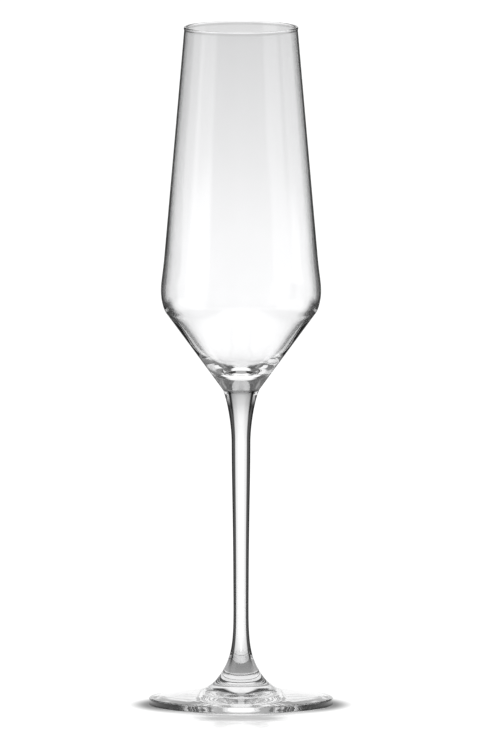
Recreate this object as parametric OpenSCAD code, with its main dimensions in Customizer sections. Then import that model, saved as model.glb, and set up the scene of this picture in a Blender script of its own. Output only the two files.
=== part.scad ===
// Stemmed sparkling-wine glass in clear glass: a blown bowl with a solid heel, a drawn stem
// and a pressed foot, welded end to end while hot. Millimetres, +Z up. The origin is the
// centre of the ring that the foot stands on.

/* [Bowl] */
// Height of the bowl from the stem weld to the rim
bowl_h = 133.4; // [125:0.1:145]
// Outer diameter over the rounded rim
rim_d = 42.1; // [40:0.1:46]
// Radius of the fire-polished bead that closes the rim
rim_bead_r = 0.5; // [0.45:0.01:0.6]
// Wall thickness just below that bead
rim_wall = 0.65; // [0.55:0.05:0.85]
// Outer diameter at the widest part of the belly
belly_d = 58.9; // [56:0.1:62]
// Height of the widest part above the stem weld
belly_up = 36; // [35:0.1:38]
// Angle of the lower cone's wall from upright
cone_angle = 36.3; // [35.5:0.1:36.5]
// Wall thickness where the upper wall starts, above the belly
side_wall = 1.1; // [0.9:0.05:1.4]
// Wall thickness at the belly
belly_wall = 1.3; // [1.1:0.05:1.6]
// Wall thickness where the lower cone runs into the heel
cone_wall = 1.6; // [1.3:0.05:1.9]
// Solid glass between the stem weld and the bottom of the inside
heel_t = 6; // [5:0.1:8]

/* [Stem] */
// Length of the stem from the foot weld to the bowl weld
stem_h = 97.3; // [85:0.1:110]
// Diameter of the weld under the bowl
bowl_weld_d = 14.1; // [13.6:0.1:14.6]
// Diameter of the stem where the neck runs out
neck_d = 6.94; // [6.2:0.01:7.6]
// Smallest diameter of the stem
waist_d = 5.64; // [5:0.01:6]
// Length of the neck that flares up into the bowl
neck_l = 19.6; // [16:0.1:24]

/* [Foot] */
// Outer diameter of the foot
foot_d = 67.5; // [62:0.1:74]
// Height of the weld between foot and stem
foot_h = 19.3; // [18:0.1:22]
// Diameter of that weld
foot_weld_d = 8; // [7.6:0.1:8.4]
// Thickness of the foot at its edge
edge_t = 2.85; // [2.4:0.05:3.2]
// Radius of the edge's lower corner, by the standing ring
low_corner_r = 0.5; // [0.3:0.05:0.8]
// Radius of the edge's upper corner
high_corner_r = 0.55; // [0.3:0.05:0.8]
// Width of the flat ring that the foot stands on
ring_w = 1.6; // [1.2:0.1:2.4]
// Height of the hollow under the middle of the foot
punt_h = 2.2; // [1:0.1:3]

/* [Welds] */
// Rise of the domed faces where two pieces are welded
weld_dome = 0.8; // [0.4:0.1:1.2]

/* [Hidden] */
$fn = 96;
clear_glass = [0.86, 0.9, 0.92, 0.45];

bowl_weld_z = foot_h + stem_h;
rim_z = bowl_weld_z + bowl_h;
belly_z = bowl_weld_z + belly_up;
bowl_weld_r = bowl_weld_d/2;
foot_weld_r = foot_weld_d/2;
belly_r = belly_d/2;
foot_r = foot_d/2;

// The lower cone ends, and the upper wall starts, this far below and above the belly
cone_end = 8.2;
wall_start = 14.2;
// The upper wall is this much slimmer than the belly where it starts
wall_step = 1.41;

// Points on a smooth curve from a to d that leaves towards b and arrives from c
function curve(a, b, c, d, steps = 12) = [for (i = [0:steps]) let (t = i/steps, u = 1 - t)
    u*u*u*a + 3*u*u*t*b + 3*u*t*t*c + t*t*t*d];

// Points on an arc about c, from one angle to another
function arc(c, r, from, to, steps = 12) = [for (i = [0:steps])
    let (angle = from + (to - from)*i/steps) c + r*[cos(angle), sin(angle)]];

// A radius and height moved by a distance along a direction
function moved(p, direction, distance) = p + distance*direction;

// The points of a list in the other order
function reversed(list) = [for (i = [len(list) - 1:-1:0]) list[i]];

// The domed face of a weld, from the axis out to its edge
function weld_face(r, z, steps = 8) = let (ball_r = (r*r + weld_dome*weld_dome)/(2*weld_dome))
    [for (i = [0:steps]) let (x = r*i/steps) [x, z + weld_dome - ball_r + sqrt(ball_r*ball_r - x*x)]];

// Down and inwards along the lower cone, and square to it into the bowl
cone_down = [-sin(cone_angle), -cos(cone_angle)];
cone_in = [-cos(cone_angle), sin(cone_angle)];

// The bowl's outside from the stem weld up to where the rim starts
cone_top = [bowl_weld_r + (belly_up - cone_end)*tan(cone_angle), belly_z - cone_end];
belly = [belly_r, belly_z];
wall_foot = [belly_r - wall_step, belly_z + wall_start];
bowl_outside = concat(
    curve(cone_top, moved(cone_top, cone_down, -1.6), belly - [0, 3.4], belly),
    curve(belly, belly + [0, 3.2], [belly_r - 0.68, belly_z + 5.7], wall_foot));

// The rim: a bead a little wider than the wall under it, blended into both sides
wall_top = [rim_d/2 - 0.1, rim_z - 1.6];
inner_top = wall_top - [rim_wall, 0];
bead = [rim_d/2 - rim_bead_r, rim_z - rim_bead_r];
bead_side = [rim_bead_r, 0];
rim = concat(
    curve(wall_top, wall_top + [0, 0.6], bead + bead_side - [0, 0.5], bead + bead_side, 5),
    arc(bead, rim_bead_r, 12, 168, 14),
    curve(bead - bead_side, bead - bead_side - [0, 0.5], inner_top + [0, 0.6], inner_top, 5));

// The bowl's inside from the rim down to the middle of its bottom
inner_wall_foot = wall_foot - [side_wall, 0];
inner_belly = belly - [belly_wall, 0];
inner_cone_top = moved(moved(cone_top, cone_down, 5), cone_in, belly_wall);
inner_cone_end = moved(moved(cone_top, cone_down, 11.4), cone_in, cone_wall);
inner_down = (inner_cone_end - inner_cone_top)/norm(inner_cone_end - inner_cone_top);
inner_bottom = [0, bowl_weld_z + heel_t];
bowl_inside = concat(
    curve(inner_top, inner_top + [3.46, -40], inner_wall_foot + [-1.5, 25], inner_wall_foot, 16),
    curve(inner_wall_foot, [inner_belly[0] - 0.58, belly_z + 5.7], inner_belly + [0, 3.2], inner_belly),
    curve(inner_belly, inner_belly - [0, 5.5], moved(inner_cone_top, inner_down, -5), inner_cone_top),
    curve(inner_cone_end, moved(inner_cone_end, inner_down, 9), inner_bottom + [9.5, 0], inner_bottom, 18));

// The stem's outside from the foot weld up to the bowl weld, where it runs on from the cone
waist = [waist_d/2, foot_h + 16.7];
neck_foot = [neck_d/2, bowl_weld_z - neck_l];
stem_top = [bowl_weld_r, bowl_weld_z];
stem_outside = concat(
    curve([foot_weld_r, foot_h], [foot_weld_r - 1.08, foot_h + 4.5], waist - [0, 7], waist),
    curve(waist, waist + [0, 32], neck_foot - [0.11, 21], neck_foot, 16),
    curve(neck_foot, neck_foot + [0.08, 7.5], moved(stem_top, cone_down, 2.5), stem_top, 20));

// The foot's outside from the middle of its hollow, round the edge and up to the stem weld
ring_out = foot_r - low_corner_r;
ring_in = ring_out - ring_w;
flat_top = [16, 5.35];
foot_under = curve([0, punt_h], [9, punt_h], [ring_in - 9, 0.35], [ring_in, 0], 14);
foot_edge = concat(
    arc([ring_out, low_corner_r], low_corner_r, -90, 0, 6),
    arc([foot_r - high_corner_r, edge_t - high_corner_r], high_corner_r, 0, 82, 6));
foot_top = concat(
    curve(foot_edge[len(foot_edge) - 1], [28, 3.55], [21, 4.75], flat_top, 12),
    curve(flat_top, [10, 6.07], [foot_weld_r + 1.44, foot_h - 6], [foot_weld_r, foot_h], 18));

// A solid of revolution about the upright axis
module turned(outline) {
    rotate_extrude() polygon(outline);
}

// Blown bowl, open at the top, with its solid heel
module bowl() {
    color(clear_glass)
        turned(concat(weld_face(bowl_weld_r, bowl_weld_z), bowl_outside, rim, bowl_inside));
}

// Drawn stem, waisted above the foot and flared below the bowl
module stem() {
    color(clear_glass)
        turned(concat(weld_face(foot_weld_r, foot_h), stem_outside,
            reversed(weld_face(bowl_weld_r, bowl_weld_z))));
}

// Foot with a rounded edge, a shallow hollow underneath and a rise to the stem
module foot() {
    color(clear_glass)
        turned(concat(foot_under, foot_edge, foot_top, reversed(weld_face(foot_weld_r, foot_h))));
}

bowl();
stem();
foot();
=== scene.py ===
import math
import bpy
import numpy as np
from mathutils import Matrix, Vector


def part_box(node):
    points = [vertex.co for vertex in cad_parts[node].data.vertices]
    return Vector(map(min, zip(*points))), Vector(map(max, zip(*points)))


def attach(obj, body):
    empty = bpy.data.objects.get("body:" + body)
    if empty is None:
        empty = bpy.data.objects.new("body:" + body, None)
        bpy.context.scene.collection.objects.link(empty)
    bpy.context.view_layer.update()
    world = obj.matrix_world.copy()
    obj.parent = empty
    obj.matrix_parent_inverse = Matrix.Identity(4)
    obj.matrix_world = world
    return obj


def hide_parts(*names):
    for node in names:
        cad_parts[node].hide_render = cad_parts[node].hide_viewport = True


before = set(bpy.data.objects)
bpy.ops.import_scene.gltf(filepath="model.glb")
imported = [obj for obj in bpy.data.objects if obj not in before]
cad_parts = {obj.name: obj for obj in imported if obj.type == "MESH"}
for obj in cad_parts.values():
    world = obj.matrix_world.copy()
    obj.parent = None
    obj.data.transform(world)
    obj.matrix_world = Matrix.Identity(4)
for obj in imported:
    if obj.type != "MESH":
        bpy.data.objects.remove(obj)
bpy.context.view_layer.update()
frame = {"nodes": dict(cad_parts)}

mm = 0.001
scene = bpy.context.scene

print("frame loaded:", ", ".join(frame["nodes"]))


def point(radius, height):
    return np.array([radius, height], dtype=float)


def curvePoints(start, leave, arrive, end, steps):
    # cubic curve that sets off towards leave and comes in from arrive: the four points weighted by
    # u^3, 3u^2t, 3ut^2 and t^3, with t from 0 to 1 and u = 1 - t
    t = np.linspace(0, 1, steps + 1)[:, None]
    u = 1 - t
    return u**3 * start + 3 * u * u * t * leave + 3 * u * t * t * arrive + t**3 * end


def arcPoints(centre, radius, fromAngle, toAngle, steps):
    # circle arc: centre plus radius times (cos a, sin a), with a in degrees
    a = np.radians(np.linspace(fromAngle, toAngle, steps + 1))[:, None]
    return centre + radius * np.hstack((np.cos(a), np.sin(a)))


def linePoints(start, end, steps):
    # straight stretch: start and end mixed in equal steps
    t = np.linspace(0, 1, steps + 1)[:, None]
    return (1 - t) * start + t * end


def weldPoints(weld):
    # cap of a ball through the weld's edge, from the axis out: z = edge + rise - R + sqrt(R^2 - r^2)
    ball = (weld["radius"]**2 + weld["rise"]**2) / (2 * weld["rise"])
    r = np.linspace(0, weld["radius"], weld["steps"] + 1)
    return np.column_stack((r, weld["z"] + weld["rise"] - ball + np.sqrt(ball**2 - r**2)))


def joined(*stretches):
    # stretches end to end, without the point that two of them share
    kept = [stretches[0]] + [s[1:] if np.allclose(s[0], p[-1], atol=1e-9) else s
                             for p, s in zip(stretches, stretches[1:])]
    return np.vstack(kept)


def newObject(name, mesh, *materials):
    made = bpy.data.objects.new(name, mesh)
    scene.collection.objects.link(made)
    for material in materials:
        mesh.materials.append(material)
    return made


def turnedPiece(name, outline, weldRows, *materials, sides=288):
    # surface of revolution: (r cos a, r sin a, z) on a grid of outline points by angles, closed by one
    # point at each end on the axis; weldRows are the first and last outline point of each weld face
    rings = outline[1:-1]
    a = np.linspace(0, 2 * math.pi, sides, endpoint=False)
    r, z = rings[:, 0][:, None], rings[:, 1][:, None]
    grid = np.stack((r * np.cos(a), r * np.sin(a), z + 0 * a), axis=-1).reshape(-1, 3)
    ends = [[0, 0, outline[0, 1]], [0, 0, outline[-1, 1]]]
    points = np.vstack((grid, ends)) * mm
    low, high = len(grid), len(grid) + 1

    j = np.arange(sides)
    k = (j + 1) % sides
    ring = np.arange(len(rings) - 1)[:, None] * sides
    quads = np.stack((ring + j, ring + k, ring + sides + k, ring + sides + j), axis=-1).reshape(-1, 4)
    lowFan = np.column_stack((np.full(sides, low), k, j))
    last = (len(rings) - 1) * sides
    highFan = np.column_stack((last + j, last + k, np.full(sides, high)))

    mesh = bpy.data.meshes.new(name)
    corners = np.concatenate((lowFan.ravel(), quads.ravel(), highFan.ravel()))
    counts = np.concatenate((np.full(sides, 3), np.full(len(quads), 4), np.full(sides, 3)))
    mesh.vertices.add(len(points))
    mesh.vertices.foreach_set("co", points.ravel())
    mesh.loops.add(len(corners))
    mesh.loops.foreach_set("vertex_index", corners)
    mesh.polygons.add(len(counts))
    mesh.polygons.foreach_set("loop_start", np.concatenate(([0], np.cumsum(counts)[:-1])))
    mesh.polygons.foreach_set("loop_total", counts)

    # the weld faces take the second material
    span = np.concatenate((np.zeros(sides), 1 + np.repeat(np.arange(len(rings) - 1), sides),
                           np.full(sides, len(rings))))
    isWeld = np.zeros(len(counts), dtype=bool)
    for first, end in weldRows:
        isWeld |= (span >= first) & (span < end)
    mesh.polygons.foreach_set("material_index", isWeld.astype(np.int32))
    mesh.polygons.foreach_set("use_smooth", np.ones(len(counts), dtype=bool))
    mesh.update(calc_edges=True)
    mesh.validate()

    # the ring where a weld face meets the outside stays a crisp edge
    edgeEnds = np.empty(len(mesh.edges) * 2, dtype=np.int32)
    mesh.edges.foreach_get("vertices", edgeEnds)
    rows = np.where(edgeEnds < len(grid), edgeEnds // sides + 1, -1).reshape(-1, 2)
    crisp = np.zeros(len(rows), dtype=bool)
    for row in np.ravel(weldRows):
        crisp |= (rows == row).all(axis=1)
    sharp = mesh.attributes.new("sharp_edge", "BOOLEAN", "EDGE")
    sharp.data.foreach_set("value", crisp)
    return newObject(name, mesh, *materials)


def plug(tree, value, socket):
    # a number is set on the socket, and an output is linked to it
    if isinstance(value, (int, float)):
        socket.default_value = value
    else:
        tree.links.new(value, socket)


def mathNode(tree, operation, *values):
    node = tree.nodes.new("ShaderNodeMath")
    node.operation = operation
    for socket, value in zip(node.inputs, values):
        plug(tree, value, socket)
    return node.outputs[0]


def times(tree, first, *others):
    product = first
    for other in others:
        product = mathNode(tree, "MULTIPLY", product, other)
    return product


def oneLess(tree, value):
    # 1 minus the value
    return mathNode(tree, "SUBTRACT", 1.0, value)


def mapped(tree, value, given, result, interpolation="LINEAR"):
    # the value moved from one span to another, and held at its ends
    node = tree.nodes.new("ShaderNodeMapRange")
    node.interpolation_type = interpolation
    tree.links.new(value, node.inputs["Value"])
    for name, number in zip(("From Min", "From Max", "To Min", "To Max"), (*given, *result)):
        node.inputs[name].default_value = number
    return node.outputs[0]


def faded(tree, value, span):
    # 1 up to the span's start, 0 after its end and a smooth step between
    return mapped(tree, value, span, (1.0, 0.0), "SMOOTHSTEP")


def ramp(tree, value, stops, interpolation="LINEAR"):
    node = tree.nodes.new("ShaderNodeValToRGB")
    node.color_ramp.interpolation = interpolation
    while len(node.color_ramp.elements) < len(stops):
        node.color_ramp.elements.new(0.5)
    for element, (at, level) in zip(node.color_ramp.elements, stops):
        element.position = at
        element.color = (level, level, level, 1)
    tree.links.new(value, node.inputs[0])
    return node.outputs[0]


def mixed(tree, share, a, b):
    # a where the share is 0 and b where it is 1
    node = tree.nodes.new("ShaderNodeMix")
    for name, value in (("Factor", share), ("A", a), ("B", b)):
        plug(tree, value, node.inputs[name])
    return node.outputs["Result"]


def split(tree, vector):
    node = tree.nodes.new("ShaderNodeSeparateXYZ")
    tree.links.new(vector, node.inputs[0])
    return node.outputs


def objectPlace(tree):
    return tree.nodes.new("ShaderNodeTexCoord").outputs["Object"]


def striaeGroup():
    # faint waves left in worked glass: noise stretched by how many waves fit in a metre, level and upright
    group = bpy.data.node_groups.new("glassStriae", "ShaderNodeTree")
    for name in ("Level Waves", "Upright Waves", "Depth", "Cord Shade"):
        group.interface.new_socket(name, in_out="INPUT", socket_type="NodeSocketFloat")
    for name in ("Height", "Cord"):
        group.interface.new_socket(name, in_out="OUTPUT", socket_type="NodeSocketFloat")
    given, result = group.nodes.new("NodeGroupInput"), group.nodes.new("NodeGroupOutput")
    waves = group.nodes.new("ShaderNodeCombineXYZ")
    for axis, name in (("X", "Level Waves"), ("Y", "Level Waves"), ("Z", "Upright Waves")):
        group.links.new(given.outputs[name], waves.inputs[axis])
    stretched = group.nodes.new("ShaderNodeVectorMath")
    stretched.operation = "MULTIPLY"
    group.links.new(objectPlace(group), stretched.inputs[0])
    group.links.new(waves.outputs[0], stretched.inputs[1])
    noise = group.nodes.new("ShaderNodeTexNoise")
    noise.inputs["Scale"].default_value = 1.0
    noise.inputs["Detail"].default_value = 1.5
    group.links.new(stretched.outputs[0], noise.inputs["Vector"])
    swing = mathNode(group, "SUBTRACT", noise.outputs["Fac"], 0.5)
    group.links.new(times(group, swing, given.outputs["Depth"]), result.inputs["Height"])
    # cords, where the waves stand above the middle, pass a touch less light: 1 - shade times that height
    crest = mathNode(group, "MAXIMUM", swing, 0.0)
    cord = oneLess(group, times(group, crest, given.outputs["Cord Shade"]))
    group.links.new(cord, result.inputs["Cord"])
    return group


glassStriae = striaeGroup()

glassLook = {
    "ior": 1.52,
    "clear": (0.985, 0.986, 0.99),
    "roughness": 0.0,
    # the painted grey of sloping stretches sets in over this glance, and fades out over this way round to the
    # side
    "slopeGlance": (0.003, 0.01),
    "slopeAcross": (0.16, 0.3),
}


def seenFrom(tree):
    # how far round to the side a face is seen, 0 head on and 1 at the outline, which for a normal of
    # height z is 1 - cos / sqrt(1 - z^2); and with it that height, and the glance, which is 1 - cos
    weight = tree.nodes.new("ShaderNodeLayerWeight")
    weight.inputs["Blend"].default_value = 0.5
    glance = weight.outputs["Facing"]
    height = split(tree, tree.nodes.new("ShaderNodeNewGeometry").outputs["Normal"])["Z"]
    level = mathNode(tree, "SQRT", oneLess(tree, times(tree, height, height)))
    head = mathNode(tree, "DIVIDE", oneLess(tree, glance), level)
    return oneLess(tree, head), height, glance


def glassMaterial(name, look):
    # clear glass with painted shade at its sides, standing in for the dark surroundings bent into them: each
    # band has a ramp of how much is left clear, from head on to the outline, and a ramp of where it counts,
    # from normals straight down to straight up
    material = bpy.data.materials.new(name)
    material.use_nodes = True
    tree = material.node_tree
    shader = tree.nodes["Principled BSDF"]
    side, height, glance = seenFrom(tree)
    upward = mathNode(tree, "MULTIPLY_ADD", height, 0.5, 0.5)
    paintedShades = []
    for shadeBySide, counting in look["bands"]:
        where = ramp(tree, upward, [(0.5 + z / 2, share) for z, share in counting])
        paintedShades.append(oneLess(tree, times(tree, oneLess(tree, ramp(tree, side, shadeBySide)), where)))
    # painted shade: sloping stretches, as at the neck, are painted greyer than straight ones, but not where
    # they are met square on
    grey = ramp(tree, mathNode(tree, "ABSOLUTE", height), look["slopeShade"])
    met = mapped(tree, glance, glassLook["slopeGlance"], (0.0, 1.0))
    inner = faded(tree, side, glassLook["slopeAcross"])
    paintedShades.append(oneLess(tree, times(tree, oneLess(tree, grey), met, inner)))
    waves = tree.nodes.new("ShaderNodeGroup")
    waves.node_tree = glassStriae
    for socket, value in zip(waves.inputs, look["striae"]):
        socket.default_value = value
    bump = tree.nodes.new("ShaderNodeBump")
    bump.inputs["Distance"].default_value = 1.0
    tree.links.new(waves.outputs["Height"], bump.inputs["Height"])
    tree.links.new(bump.outputs["Normal"], shader.inputs["Normal"])
    # the painted shade, times the cords of the glass itself
    shadeAndCords = times(tree, *paintedShades, waves.outputs["Cord"])
    # the shader passes the root of its colour at each face, so the share is squared, and only faces seen
    # from outside take it
    back = tree.nodes.new("ShaderNodeNewGeometry").outputs["Backfacing"]
    squared = mathNode(tree, "MAXIMUM", times(tree, shadeAndCords, shadeAndCords), back)
    tint = tree.nodes.new("ShaderNodeMix")
    tint.data_type = "RGBA"
    tree.links.new(squared, tint.inputs["Factor"])
    tint.inputs["A"].default_value = (0, 0, 0, 1)
    tint.inputs["B"].default_value = (*glassLook["clear"], 1)
    tree.links.new(tint.outputs["Result"], shader.inputs["Base Color"])
    shader.inputs["Roughness"].default_value = glassLook["roughness"]
    shader.inputs["IOR"].default_value = glassLook["ior"]
    shader.inputs["Transmission Weight"].default_value = 1.0
    return material


def weldMaterial():
    # glass that has run together has no face between its pieces, so the weld faces aren't seen
    material = bpy.data.materials.new("fusedWeld")
    material.use_nodes = True
    material.node_tree.nodes["Principled BSDF"].inputs["Alpha"].default_value = 0.0
    return material


fusedWeld = weldMaterial()
print("glass ready")

# places taken from the frame, in millimetres like all the sizes of the pieces below
bowlLow, bowlHigh = (np.array(corner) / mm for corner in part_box("bowl"))
stemLow = np.array(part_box("stem")[0]) / mm
footHigh = np.array(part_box("foot")[1]) / mm
bowlWeld = {"z": bowlLow[2], "radius": 7.05, "rise": 0.8, "steps": 10}
footWeld = {"z": stemLow[2], "radius": 4.0, "rise": 0.8, "steps": 8}

bowl = {
    "rimRadius": 21.05,
    "rimBead": 0.5,
    "rimWall": 0.65,
    "sideWall": 1.1,
    "bellyWall": 1.3,
    "coneWall": 1.6,
    "heel": 6.0,
    "bellyUp": 36.0,
    "coneAngle": 36.3,
    # the cone ends this far below the belly, and the side wall starts this far above it and further in
    "coneEnd": 8.2,
    "wallStart": 14.2,
    "wallStep": 1.41,
    # where the inside's straight cone starts and ends, down the slope from the outside's
    "innerCone": (5, 11.4),
    "glass": {
        "bands": [
            # painted shade at the wall's outline
            ([(0.66, 1.0), (0.74, 0.92), (0.8, 0.65), (0.88, 0.33), (1, 0.22)],
             [(-0.7, 0), (-0.62, 1), (0.3, 1), (0.6, 0)]),
            # painted shade on the inside of the lower cone
            ([(0.4, 1.0), (0.55, 0.8), (0.66, 0.3), (0.8, 0.06), (1, 0.06)],
             [(0.12, 0), (0.3, 1), (0.64, 1), (0.8, 0)])],
        "slopeShade": [(0.6, 1), (0.7, 0.93), (0.85, 0.85), (1, 0.8)],
        "striae": (90, 25, 0.000004, 0.04),
    },
}


def bowlOutline(d):
    # up the outside, over the bead of the rim and down the inside; a curve's middle two points steer it
    weldZ, weldR = bowlWeld["z"], bowlWeld["radius"]
    rimZ, bellyR, bellyZ = bowlHigh[2], bowlHigh[0], weldZ + d["bellyUp"]
    lean = math.radians(d["coneAngle"])
    down = point(-math.sin(lean), -math.cos(lean))
    inward = point(-math.cos(lean), math.sin(lean))
    belly = point(bellyR, bellyZ)
    coneTop = point(weldR + (d["bellyUp"] - d["coneEnd"]) * math.tan(lean), bellyZ - d["coneEnd"])
    wallFoot = point(bellyR - d["wallStep"], bellyZ + d["wallStart"])
    wallTop = point(d["rimRadius"] - 0.1, rimZ - 1.6)
    bead = point(d["rimRadius"] - d["rimBead"], rimZ - d["rimBead"])
    beadSide = point(d["rimBead"], 0)
    innerTop = wallTop - [d["rimWall"], 0]
    innerWallFoot = wallFoot - [d["sideWall"], 0]
    innerBelly = belly - [d["bellyWall"], 0]
    innerStart, innerEnd = d["innerCone"]
    innerConeTop = coneTop + innerStart * down + d["bellyWall"] * inward
    innerConeEnd = coneTop + innerEnd * down + d["coneWall"] * inward
    innerDown = (innerConeEnd - innerConeTop) / np.linalg.norm(innerConeEnd - innerConeTop)
    innerBottom = point(0, weldZ + d["heel"])
    rim = joined(
        curvePoints(wallTop, wallTop + [0, 0.6], bead + beadSide - [0, 0.5], bead + beadSide, 8),
        arcPoints(bead, d["rimBead"], 0, 180, 36),
        curvePoints(bead - beadSide, bead - beadSide - [0, 0.5], innerTop + [0, 0.6], innerTop, 8))
    weld = weldPoints(bowlWeld)
    return joined(
        weld,
        linePoints(weld[-1], coneTop, 24),
        curvePoints(coneTop, coneTop - 1.6 * down, belly - [0, 3.4], belly, 30),
        curvePoints(belly, belly + [0, 3.2], belly + [-0.68, 5.7], wallFoot, 30),
        linePoints(wallFoot, rim[0], 30),
        rim,
        curvePoints(rim[-1], rim[-1] + [3.46, -40], innerWallFoot + [-1.5, 25], innerWallFoot, 60),
        curvePoints(innerWallFoot, innerBelly + [-0.58, 5.7], innerBelly + [0, 3.2], innerBelly, 24),
        curvePoints(innerBelly, innerBelly - [0, 5.5], innerConeTop - 5 * innerDown, innerConeTop, 24),
        linePoints(innerConeTop, innerConeEnd, 6),
        curvePoints(innerConeEnd, innerConeEnd + 9 * innerDown, innerBottom + [9.5, 0], innerBottom, 40))


bowlWelds = [(0, bowlWeld["steps"])]
bowlPiece = turnedPiece("bowl_glass", bowlOutline(bowl), bowlWelds,
                        glassMaterial("blownGlass", bowl["glass"]), fusedWeld)
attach(bowlPiece, "root")
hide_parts("bowl")
print("bowl made:", len(bowlPiece.data.polygons), "faces")

# painted shade for solid round glass, in place of the dark surroundings bent through it: a dark line either
# side of the bright middle, then a dark rim
solidCoreShade = [(0.0, 1.0), (0.05, 0.95), (0.09, 0.84), (0.15, 0.76), (0.185, 0.7), (0.21, 0.45), (0.24, 0.1),
             (0.27, 0.02), (0.33, 0.02), (0.4, 1.0)]
solidRimShade = [(0.29, 1.0), (0.36, 0.02), (0.7, 0.02), (0.9, 0.12), (1, 0.3)]

stem = {
    "neckRadius": 3.47,
    "neckLength": 19.6,
    "waistRadius": 2.82,
    "waistUp": 16.7,
    "glass": {
        "bands": [
            (solidCoreShade, [(-0.56, 0), (-0.42, 1), (0.42, 1), (0.56, 0)]),
            (solidRimShade, [(-0.31, 0), (-0.21, 1), (0.21, 1), (0.31, 0)])],
        "slopeShade": [(0.03, 1.0), (0.06, 0.98), (0.165, 0.87), (0.225, 0.71), (0.3, 0.7), (0.39, 0.6),
                  (0.5, 0.42), (0.59, 0.6)],
        "striae": (400, 40, 0.000002, 0.06),
    },
}


def stemOutline(d):
    # up from the foot past the waist, and out along the neck until it runs into the bowl's cone
    low = weldPoints(footWeld)
    high = weldPoints(bowlWeld)
    start, top = low[-1], high[-1]
    waist = point(d["waistRadius"], start[1] + d["waistUp"])
    neckFoot = point(d["neckRadius"], top[1] - d["neckLength"])
    lean = math.radians(bowl["coneAngle"])
    coneUp = point(math.sin(lean), math.cos(lean))
    return joined(
        low,
        curvePoints(start, start + [-1.08, 4.5], waist - [0, 7], waist, 40),
        curvePoints(waist, waist + [0, 32], neckFoot - [0.11, 21], neckFoot, 60),
        curvePoints(neckFoot, neckFoot + [0.08, 7.5], top - 2.5 * coneUp, top, 50),
        high[::-1])


outline = stemOutline(stem)
last = len(outline) - 1
stemWelds = [(0, footWeld["steps"]), (last - bowlWeld["steps"], last)]
stemPiece = turnedPiece("stem_glass", outline, stemWelds,
                        glassMaterial("drawnGlass", stem["glass"]), fusedWeld)
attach(stemPiece, "root")
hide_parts("stem")
print("stem made:", len(stemPiece.data.polygons), "faces")

foot = {
    "edge": 2.85,
    "lowCorner": 0.5,
    "highCorner": 0.55,
    "ring": 1.6,
    "punt": 2.2,
    # radius and height where the flat top turns up into the rise
    "flatTop": (16, 5.35),
    "glass": {
        "bands": [
            (solidCoreShade, [(-0.5, 0), (-0.3, 1), (0.3, 1), (0.5, 0)]),
            (solidRimShade, [(-0.4, 0), (-0.2, 1), (0.2, 1), (0.4, 0)])],
        "slopeShade": [(0.03, 1.0), (0.165, 0.85), (0.27, 0.7), (0.45, 0.7), (0.6, 0.9), (0.8, 1.0)],
        "striae": (120, 120, 0.000012, 0.08),
    },
}


def footOutline(d):
    # out along the hollow underside, over the standing ring and the edge, and in and up to the stem
    outer = footHigh[0]
    low, high = d["lowCorner"], d["highCorner"]
    ringIn = outer - low - d["ring"]
    lowCorner = arcPoints(point(outer - low, low), low, -90, 0, 12)
    highCorner = arcPoints(point(outer - high, d["edge"] - high), high, 0, 82, 12)
    flatTop = point(*d["flatTop"])
    weld = weldPoints(footWeld)
    return joined(
        curvePoints(point(0, d["punt"]), point(9, d["punt"]), point(ringIn - 9, 0.35), point(ringIn, 0), 50),
        linePoints(point(ringIn, 0), lowCorner[0], 3),
        lowCorner,
        linePoints(lowCorner[-1], highCorner[0], 4),
        highCorner,
        curvePoints(highCorner[-1], point(28, 3.55), point(21, 4.75), flatTop, 40),
        curvePoints(flatTop, point(10, 6.07), weld[-1] + [1.44, -6], weld[-1], 70),
        weld[::-1])


outline = footOutline(foot)
last = len(outline) - 1
footWelds = [(last - footWeld["steps"], last)]
footPiece = turnedPiece("foot_glass", outline, footWelds,
                        glassMaterial("pressedGlass", foot["glass"]), fusedWeld)
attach(footPiece, "root")
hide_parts("foot")
print("foot made:", len(footPiece.data.polygons), "faces")

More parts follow.
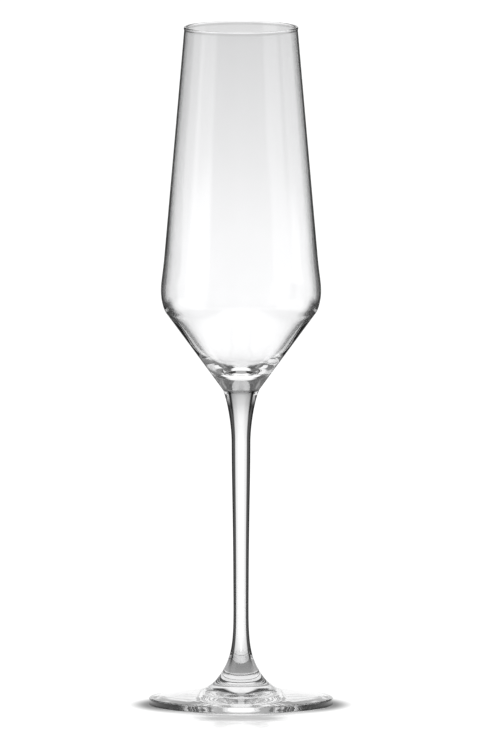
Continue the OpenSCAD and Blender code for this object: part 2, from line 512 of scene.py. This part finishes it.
# distances in metres and bearings in degrees
studio = {
    "floorRadius": 1.2,
    "tentRadius": 0.3,
    "tentHeight": 0.7,
    "floor": 1.12,
    "overhead": 0.55,
    # contact shadow: how it grows by share of the foot's radius, its depth, its reach past the foot, and
    # how much of it is left straight in front and behind
    "shadow": [(0, 0.0), (0.92, 0.0), (0.97, 0.7), (1.0, 1.0)],
    "shadowDepth": 0.75,
    "shadowReach": 0.009,
    "shadowAhead": 0.25,
    # gloss of the floor: it fades over these distances, sideways and from the middle, and shows this white
    "floorGloss": 0.6,
    "floorPolish": 0.05,
    "glossAcross": (0.008, 0.024),
    "glossOut": (0.05, 0.1),
    "glossWhite": 1.1,
    # what bent light finds on the tent at each height
    "backdrop": [(0.0, 1.17), (0.12, 1.15), (0.136, 1.1), (0.1545, 1.03), (0.173, 0.95), (0.191, 0.88),
                 (0.211, 0.8), (0.25, 0.7), (0.4, 0.5), (0.7, 0.4)],
    # what mirrored light finds on the tent at each bearing to the right of straight behind
    "cards": [(-180, 0.25), (-135, 0.25), (-128, 1.0), (-100, 1.0), (-92, 0.2), (-56, 0.12), (-40, 0.12),
              (-37, 0.28), (-33, 0.28), (-30, 0.06), (-17, 0.06), (-11, 1.0), (11, 1.0), (17, 0.06),
              (30, 0.06), (33, 0.28), (37, 0.28), (40, 0.12), (56, 0.12), (64, 0.8), (92, 0.8),
              (100, 0.25), (180, 0.25)],
    # what it finds lower down on the tent, the same on both sides, and where that fades out
    "lowCards": [(0, 1.0), (11, 1.0), (17, 0.06), (30, 0.06), (40, 0.12), (62, 0.12), (68, 1.0),
                 (122, 1.0), (130, 0.25), (180, 0.25)],
    "lowCardTop": (0.09, 0.12),
    # how both weaken upwards, by share of the tent's height
    "cardFall": [(0, 1.0), (0.35, 1.0), (0.6, 0.5), (1, 0.4)],
    # white card close behind the foot, and the height and the bearing to either side where it fades out
    "cardRadius": 0.12,
    "cardFoot": 0.0005,
    "cardTop": (0.024, 0.034),
    "cardSide": (32, 42),
    # white sweep of paper that mirrored light finds on the floor, and the felt beside it
    "sweepHalf": (0.08, 0.15),
    "felt": 0.1,
    # what mirrored light finds on the floor under the foot, by share of the foot's radius: painted shade, dim
    # in the middle and darkest just inside the edge
    "underFootShade": [(0, 0.4), (0.56, 0.45), (0.68, 0.9), (0.86, 0.9), (0.9, 0.08), (1, 0.08)],
}


def discMesh(name, radius, sides=96):
    # flat disc: (r cos a, r sin a, 0) with one face
    a = np.linspace(0, 2 * math.pi, sides, endpoint=False)
    points = np.column_stack((radius * np.cos(a), radius * np.sin(a), 0 * a))
    mesh = bpy.data.meshes.new(name)
    mesh.from_pydata(points.tolist(), [], [list(range(sides))])
    return mesh


def tentMesh(name, radius, height, sides=96, rows=24):
    # upright open cylinder round the object: (r cos a, r sin a, z)
    a = np.linspace(0, 2 * math.pi, sides, endpoint=False)
    z = np.linspace(0, height, rows + 1)[:, None]
    points = np.stack((radius * np.cos(a) + 0 * z, radius * np.sin(a) + 0 * z, z + 0 * a), axis=-1)
    j = np.arange(sides)
    k = (j + 1) % sides
    ring = np.arange(rows)[:, None] * sides
    quads = np.stack((ring + k, ring + j, ring + sides + j, ring + sides + k), axis=-1).reshape(-1, 4)
    mesh = bpy.data.meshes.new(name)
    mesh.from_pydata(points.reshape(-1, 3).tolist(), [], quads.tolist())
    return mesh


def cardMesh(name, radius, low, high, side, steps=24):
    # upright strip round the back of the object: (r sin a, r cos a, z) from one bearing to the other
    a = np.radians(np.linspace(-side, side, steps + 1))
    rows = [np.column_stack((radius * np.sin(a), radius * np.cos(a), z + 0 * a)) for z in (low, high)]
    j = np.arange(steps)
    quads = np.column_stack((j + 1, j, steps + 1 + j, steps + 2 + j))
    mesh = bpy.data.meshes.new(name)
    mesh.from_pydata(np.vstack(rows).tolist(), [], quads.tolist())
    return mesh


def emptyMaterial(name):
    material = bpy.data.materials.new(name)
    material.use_nodes = True
    material.node_tree.nodes.clear()
    return material, material.node_tree


def lightPath(tree, output):
    return tree.nodes.new("ShaderNodeLightPath").outputs[output]


def throughGlass(tree, bent, mirrored):
    # mirrored light for rays that some face has reflected, bent light for rays that only passed through
    isMirrored = mathNode(tree, "GREATER_THAN", lightPath(tree, "Glossy Depth"), 0.5)
    return mixed(tree, isMirrored, bent, mirrored)


def glowing(tree, strength):
    emission = tree.nodes.new("ShaderNodeEmission")
    plug(tree, strength, emission.inputs["Strength"])
    return emission.outputs[0]


def finishSurface(tree, shader):
    out = tree.nodes.new("ShaderNodeOutputMaterial")
    tree.links.new(shader, out.inputs["Surface"])


def tentMaterial(d):
    material, tree = emptyMaterial("lightTent")
    place = split(tree, objectPlace(tree))
    # bearing from straight behind: atan2(x, y)
    bearing = mathNode(tree, "ARCTAN2", place["X"], place["Y"])
    turn = mathNode(tree, "MULTIPLY_ADD", bearing, 0.5 / math.pi, 0.5)
    aside = mathNode(tree, "DIVIDE", mathNode(tree, "ABSOLUTE", bearing), math.pi)
    up = mathNode(tree, "DIVIDE", place["Z"], d["tentHeight"])
    cards = ramp(tree, turn, [(0.5 + degrees / 360, light) for degrees, light in d["cards"]])
    lowCards = ramp(tree, aside, [(degrees / 180, light) for degrees, light in d["lowCards"]])
    found = mixed(tree, faded(tree, place["Z"], d["lowCardTop"]), cards, lowCards)
    # a ramp holds at most 1, so the backdrop is halved in it and doubled after
    backdrop = ramp(tree, up, [(z / d["tentHeight"], light / 2) for z, light in d["backdrop"]])
    # what the glossy floor shows of the tent is as white as the floor; sharp rays come from the glass alone
    soft = oneLess(tree, lightPath(tree, "Is Singular Ray"))
    mirrored = mathNode(tree, "MAXIMUM", times(tree, found, ramp(tree, up, d["cardFall"])),
                        times(tree, soft, d["glossWhite"]))
    finishSurface(tree, glowing(tree, throughGlass(tree, times(tree, backdrop, 2.0), mirrored)))
    return material


def floorMaterial(d):
    material, tree = emptyMaterial("whiteAcrylic")
    place = objectPlace(tree)
    length = tree.nodes.new("ShaderNodeVectorMath")
    length.operation = "LENGTH"
    tree.links.new(place, length.inputs[0])
    radius = length.outputs["Value"]
    x = split(tree, place)["X"]
    across = mathNode(tree, "ABSOLUTE", x)
    footR = footHigh[0] * mm
    share = mathNode(tree, "DIVIDE", radius, footR)
    # contact shadow: darkest at the edge of the foot, and weaker in front and behind than at the sides
    shade = times(tree, ramp(tree, share, d["shadow"], "EASE"),
                  faded(tree, radius, (footR, footR + d["shadowReach"])), d["shadowDepth"])
    sideways = mathNode(tree, "DIVIDE", x, radius)
    sideways = mathNode(tree, "MULTIPLY_ADD", times(tree, sideways, sideways), 1 - d["shadowAhead"],
                        d["shadowAhead"])
    lit = oneLess(tree, times(tree, shade, sideways))
    bent = times(tree, lit, d["floor"])
    sweep = mathNode(tree, "MULTIPLY_ADD", faded(tree, across, d["sweepHalf"]), 1 - d["felt"], d["felt"])
    isUnder = mathNode(tree, "LESS_THAN", share, 1.0)
    # under the foot, mirrored light finds painted shade: dim in the middle and darkest just inside the foot's
    # edge
    mirrored = mixed(tree, isUnder, times(tree, bent, sweep), ramp(tree, share, d["underFootShade"]))
    # seen straight, the floor's own light gives up what its gloss takes over
    polish = times(tree, faded(tree, across, d["glossAcross"]), faded(tree, radius, d["glossOut"]),
                   d["floorGloss"])
    direct = times(tree, lit, mathNode(tree, "MULTIPLY_ADD", polish, -d["glossWhite"], d["floor"]))
    isCamera = lightPath(tree, "Is Camera Ray")
    gloss = tree.nodes.new("ShaderNodeBsdfGlossy")
    gloss.inputs["Roughness"].default_value = d["floorPolish"]
    tree.links.new(times(tree, isCamera, polish), gloss.inputs["Color"])
    total = tree.nodes.new("ShaderNodeAddShader")
    own = glowing(tree, mixed(tree, isCamera, throughGlass(tree, bent, mirrored), direct))
    tree.links.new(own, total.inputs[0])
    tree.links.new(gloss.outputs[0], total.inputs[1])
    finishSurface(tree, total.outputs[0])
    return material


def cardMaterial(d):
    # only mirrored light finds the card, bent light goes through it
    material, tree = emptyMaterial("whiteCard")
    place = split(tree, objectPlace(tree))
    aside = mathNode(tree, "ABSOLUTE", mathNode(tree, "ARCTAN2", place["X"], place["Y"]))
    there = times(tree, faded(tree, place["Z"], d["cardTop"]),
                  faded(tree, aside, [math.radians(edge) for edge in d["cardSide"]]))
    shown = tree.nodes.new("ShaderNodeMixShader")
    tree.links.new(throughGlass(tree, 0.0, there), shown.inputs[0])
    tree.links.new(tree.nodes.new("ShaderNodeBsdfTransparent").outputs[0], shown.inputs[1])
    tree.links.new(glowing(tree, 1.0), shown.inputs[2])
    finishSurface(tree, shown.outputs[0])
    return material


floor = newObject("floor", discMesh("floor", studio["floorRadius"]), floorMaterial(studio))

tentShape = tentMesh("light_tent", studio["tentRadius"], studio["tentHeight"])
tent = newObject("light_tent", tentShape, tentMaterial(studio))
tent.visible_camera = False

cardShape = cardMesh("low_card", studio["cardRadius"], studio["cardFoot"], studio["cardTop"][1],
                     studio["cardSide"][1])
card = newObject("low_card", cardShape, cardMaterial(studio))
card.visible_camera = False

# the world is as white as the floor to the camera and to the floor's gloss, and dimmer to the glass
world = bpy.data.worlds.new("studio")
scene.world = world
world.use_nodes = True
worldTree = world.node_tree
isSoft = oneLess(worldTree, lightPath(worldTree, "Is Singular Ray"))
isWhite = mathNode(worldTree, "MAXIMUM", lightPath(worldTree, "Is Camera Ray"), isSoft)
background = worldTree.nodes["Background"]
background.inputs["Color"].default_value = (1, 1, 1, 1)
plug(worldTree, mixed(worldTree, isWhite, studio["overhead"], studio["floor"]), background.inputs["Strength"])
print("studio made")

cameraLook = {
    "elevation": 6.0,
    "target": (-0.00037, 0.0, 0.12414),
    "distance": 2.0,
    "frameHeight": 0.26986,
}
tilt = math.radians(cameraLook["elevation"])
cameraData = bpy.data.cameras.new("camera")
cameraData.type = "ORTHO"
cameraData.ortho_scale = cameraLook["frameHeight"]
camera = bpy.data.objects.new("camera", cameraData)
backwards = Vector((0, -math.cos(tilt), math.sin(tilt)))
camera.location = Vector(cameraLook["target"]) + cameraLook["distance"] * backwards
camera.rotation_euler = (math.pi / 2 - tilt, 0, 0)
scene.collection.objects.link(camera)
scene.camera = camera

# glass needs many bounces to come clear
scene.cycles.max_bounces = 32
scene.cycles.transmission_bounces = 32
scene.cycles.glossy_bounces = 16
scene.cycles.transparent_max_bounces = 32
scene.view_settings.view_transform = "Standard"
